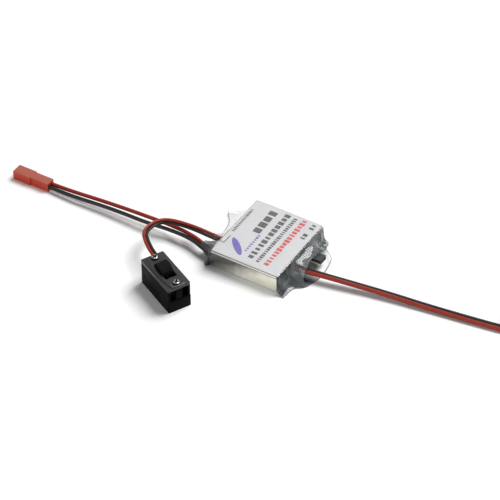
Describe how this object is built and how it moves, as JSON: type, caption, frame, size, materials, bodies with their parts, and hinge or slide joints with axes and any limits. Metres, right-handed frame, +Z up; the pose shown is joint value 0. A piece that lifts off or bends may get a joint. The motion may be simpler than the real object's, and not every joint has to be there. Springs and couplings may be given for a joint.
{
  "type": "voltage regulator module",
  "caption": "Flat tin-shielded switching regulator in a clear film sleeve, with an input lead and plug, a boxed slide switch on a short lead, an output lead and a voltage jumper.",
  "frame": {"origin": "under the middle of the film-wrapped shield can, on the surface it lies on", "axes": "+X along the film sleeve from the input end to the output end, +Y across the can, +Z up"},
  "size_m": [0.305, 0.1, 0.017],
  "materials": {
    "tinned_steel": "bright tin plate, lightly scuffed",
    "printed_label": "matt white printed label",
    "clear_film": "clear heat-shrink film",
    "insulating_paper": "brown insulating paper",
    "silicone_pad": "grey thermal pad",
    "board_laminate": "green solder mask",
    "ferrite": "dark sintered ferrite",
    "copper_wire": "enamelled copper",
    "capacitor_aluminium": "satin",
    "black_plastic": "moulded",
    "chip_plastic": "moulded epoxy",
    "tin_plate": "bright",
    "ceramic_body": "tan ceramic",
    "lamp_lens": "small lamp",
    "solder": "solder",
    "gilt_contact": "gold flash",
    "jumper_plastic": "moulded",
    "red_insulation": "soft wire insulation",
    "black_insulation": "soft wire insulation",
    "red_plastic": "moulded red nylon",
    "nickel_screw": "nickel plate",
    "knob_plastic": "ribbed",
    "phenolic": "phenolic paper"
  },
  "bodies": {
    "module": {"capacitor_bases": "black_plastic", "ceramic_chips": "ceramic_body", "chip_legs": "tin_plate", "circuit_board": "board_laminate", "coil_tie": "black_plastic", "controller_chip": "chip_plastic", "filter_choke_core": "ferrite", "filter_choke_winding": "copper_wire", "header_base": "black_plastic", "header_pins": "gilt_contact", "heat_shrink_sleeve": "clear_film", "inductor_core": "ferrite", "inductor_winding": "copper_wire", "input_capacitors": "capacitor_aluminium", "input_connector_contacts": "gilt_contact", "input_connector_housing": "red_plastic", "input_wire_black": "black_insulation", "input_wire_red": "red_insulation", "insulating_sheet": "insulating_paper", "label": "printed_label", "monitor_lamps": "lamp_lens", "output_capacitors": "capacitor_aluminium", "output_coil": "black_insulation", "output_connector_contacts": "gilt_contact", "output_connector_housing": "black_plastic", "output_tail_black": "black_insulation", "output_tail_red": "red_insulation", "output_wire_black": "black_insulation", "output_wire_red": "red_insulation", "power_transistors": "chip_plastic", "rectifier_diode": "chip_plastic", "sense_resistor": "chip_plastic", "shield_cover": "tinned_steel", "shield_tray": "tinned_steel", "solder_joints": "solder", "switch_base": "phenolic", "switch_can": "tin_plate", "switch_housing": "black_plastic", "switch_lid": "black_plastic", "switch_screws": "nickel_screw", "switch_solder_joints": "solder", "switch_terminals": "tin_plate", "switch_wire_black": "black_insulation", "switch_wire_red": "red_insulation", "thermal_pad": "silicone_pad"},
    "knob": {"switch_knob": "knob_plastic", "switch_slider": "knob_plastic"},
    "jumper": {"jumper_cap": "jumper_plastic", "jumper_clip": "gilt_contact"}
  },
  "joints": [
    {"name": "switch_slide", "type": "slide", "parent": "module", "child": "knob", "axis": [0.8886, -0.4587, 0], "range_m": [0, 0.003]},
    {"name": "jumper_pull", "type": "slide", "parent": "module", "child": "jumper", "axis": [1, 0, 0], "range_m": [0, 0.0065]}
  ]
}
